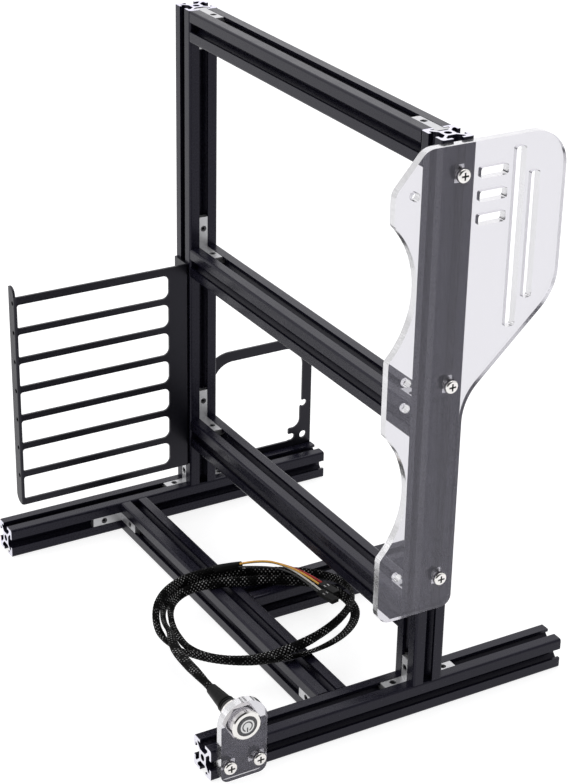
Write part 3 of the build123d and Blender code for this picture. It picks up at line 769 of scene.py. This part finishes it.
def capMaterial():
    # Satin metal cap with the plain on-off sign: an open ring and a tick, gap downwards
    material, tree, shader = newMaterial("buttonCap")
    coordinates = addNode(tree, "ShaderNodeTexCoord")
    split = addNode(tree, "ShaderNodeSeparateXYZ", {0: coordinates.outputs["Object"]})
    y = compute(tree, "SUBTRACT", split.outputs[1], buttonCap["axis"][0])
    drop = compute(tree, "SUBTRACT", buttonCap["axis"][1], split.outputs[2])
    squares = compute(tree, "ADD", compute(tree, "MULTIPLY", y, y), compute(tree, "MULTIPLY", drop, drop))
    radius = compute(tree, "SQRT", squares)
    side = compute(tree, "ABSOLUTE", y)
    offRing = compute(tree, "ABSOLUTE", compute(tree, "SUBTRACT", radius, buttonCap["ringRadius"]))
    ring = compute(tree, "LESS_THAN", offRing, buttonCap["line"])
    narrow = compute(tree, "LESS_THAN", side, buttonCap["gap"])
    gap = compute(tree, "MULTIPLY", narrow, compute(tree, "GREATER_THAN", drop, 0.0))
    ring = compute(tree, "MULTIPLY", ring, compute(tree, "SUBTRACT", 1.0, gap))
    tick = inRange(tree, drop, *buttonCap["tick"])
    tick = compute(tree, "MULTIPLY", tick, compute(tree, "LESS_THAN", side, buttonCap["line"]))
    sign = compute(tree, "MAXIMUM", ring, tick)
    grain = noise(tree, objectPlace(tree), *buttonCap["grain"])
    metal = mixColor(tree, grain, *buttonCap["shades"])
    feed(tree, shader, {
        "Base Color": mixColor(tree, sign, metal, buttonCap["sign"]),
        "Metallic": between(tree, sign, *buttonCap["metallic"], 0.0, 1.0),
        "Roughness": between(tree, grain, *buttonCap["roughness"]),
    })
    addBump(tree, shader, grain, *buttonCap["bump"])
    return material


lampRing = {                                   # unlit: smoky, slightly cloudy plastic
    "shades": (gray(0.06, 0.1), gray(0.11, 0.1)),
    "roughness": (0.2, 0.32),
    "grain": (800.0, 3.0),
    "bump": (0.05, 0.0001),
    "ior": 1.5,
}
sealRubber = {
    "shades": (gray(0.0105), gray(0.0189)),
    "roughness": (0.54, 0.66),
    "grain": (900.0, 4.0),
    "bump": (0.12, 0.0002),
    "ior": 1.42,
}
blackPlastic = {
    "shades": (gray(0.00825), gray(0.01485)),
    "roughness": (0.36, 0.48),
    "grain": (900.0, 4.0),
    "bump": (0.12, 0.0002),
    "ior": 1.42,
}


def dressNodes():
    bars = {axis: barMaterial(axis) for axis in "XYZ"}
    nickel = metalMaterial("nickel")
    bySlot = {
        "corner_bracket": metalMaterial("castBracket"),
        "set_screw": metalMaterial("blackScrew"),
        "sheet_black": coatMaterial(),
        "screw_nickel": nickel,
        "slot_nut": metalMaterial("zincNut"),
        "switch_metal": nickel,
        "lamp_lens": plainMaterial("lampRing", lampRing),
        "seal_rubber": plainMaterial("sealRubber", sealRubber),
        "black_plastic": plainMaterial("blackPlastic", blackPlastic),
        "spring_steel": metalMaterial("springSteel"),
        "boot_black": plainMaterial("bootShrink", shrinkTube),
    }
    named = {name: connectorMaterial(name) for name in connector["rears"]}
    named["button_cap"] = capMaterial()
    for start, axis in barFinish["axes"].items():
        named.update({name: bars[axis] for name in nodes if name.startswith(start)})
    for row in frame["record"]["subparts"]:
        name, slotName = row["node"], row["material_slot"]
        finish = named.get(name) or bySlot.get(slotName)
        if finish is not None:
            nodes[name].data.materials.clear()
            nodes[name].data.materials.append(finish)
    # the cross recesses get painted shade
    dressRecesses(metalMaterial("recessPaintedShade"))
    print("finishes on", len(nodes), "nodes")


def makeFloor():
    # A flat square with three points a side
    half = studio["floorSize"] / 2
    line = np.linspace(-half, half, 3)
    x, y = np.meshgrid(line, line, indexing="ij")
    points = np.stack([x, y, np.zeros_like(x)], axis=-1)
    mesh = gridMesh("floor", points)
    floor = bpy.data.objects.new("floor", mesh)
    scene.collection.objects.link(floor)
    material, tree, shader = newMaterial("paleFloor")
    feed(tree, shader, {
        "Base Color": studio["floorColor"],
        "Roughness": studio["floorRoughness"],
        "Specular IOR Level": studio["floorSpecular"],
        "Emission Color": gray(1.0),
        "Emission Strength": compute(tree, "MULTIPLY", seenRays(tree), studio["floorLift"]),
    })
    mesh.materials.append(material)


def makeWorld():
    # White for the camera and through clear plates, dimmer as light, and with a dark side in gloss
    world = bpy.data.worlds.new("studio")
    scene.world = world
    world.use_nodes = True
    tree = world.node_tree
    rays = addNode(tree, "ShaderNodeLightPath")
    way = addNode(tree, "ShaderNodeTexCoord").outputs["Generated"]
    toDark = addNode(tree, "ShaderNodeVectorMath", {0: way, 1: studio["darkSide"]}, operation="DOT_PRODUCT")
    room = between(tree, toDark.outputs["Value"], 1.0, studio["darkLevel"], *studio["darkReach"])
    room = compute(tree, "MULTIPLY", room, rays.outputs["Is Glossy Ray"])
    seen = compute(tree, "MAXIMUM", rays.outputs["Is Camera Ray"], rays.outputs["Is Transmission Ray"])
    plain = compute(tree, "MULTIPLY", rays.outputs["Is Diffuse Ray"], studio["worldLight"])
    strength = compute(tree, "MAXIMUM", compute(tree, "MAXIMUM", room, seen), plain)
    feed(tree, tree.nodes["Background"], {"Color": gray(1.0), "Strength": strength})


scene.view_settings.view_transform = "Standard"
makeCamera()
makeLamps()
makeWorld()
makeFloor()
print("studio ready")
dressNodes()
makePlates()
makeHarness()
makeWires()
print("harness laid")
